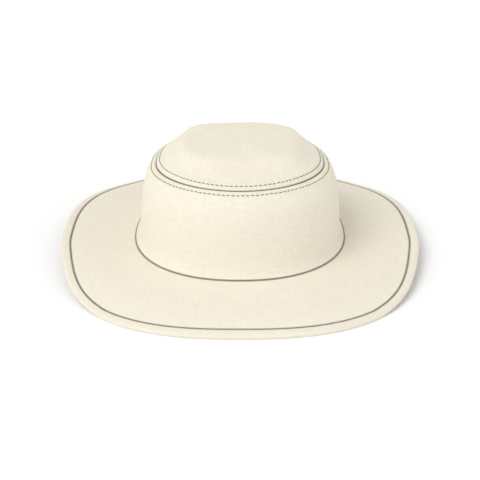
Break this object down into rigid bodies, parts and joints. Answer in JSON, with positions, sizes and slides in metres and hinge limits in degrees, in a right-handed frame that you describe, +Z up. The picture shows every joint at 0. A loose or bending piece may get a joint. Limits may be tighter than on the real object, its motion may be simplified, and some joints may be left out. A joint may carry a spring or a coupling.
{
  "type": "wide-brim hat",
  "caption": "Sewn cloth sun hat with a wide squarish-oval brim, a bound edge that rolls down, a near-upright side band and a domed tip set in at a topstitched seam.",
  "frame": {"origin": "centre of the bounding box on the floor that the hat rests on", "axes": "+Z up through the crown, +Y from the front of the hat to its back, +X to the viewer's right as the hat is seen from its front"},
  "size_m": [0.313, 0.325, 0.1043],
  "materials": {
    "crown_tip_canvas": "cream cotton canvas, plain weave, matte",
    "side_band_canvas": "cream cotton canvas, plain weave, matte",
    "brim_canvas": "cream cotton canvas, plain weave, matte",
    "binding_canvas": "cream cotton canvas strip, plain weave, matte"
  },
  "bodies": {
    "root": {"crown_tip": "crown_tip_canvas", "crown_side_band": "side_band_canvas", "brim": "brim_canvas", "brim_binding": "binding_canvas"}
  },
  "joints": []
}
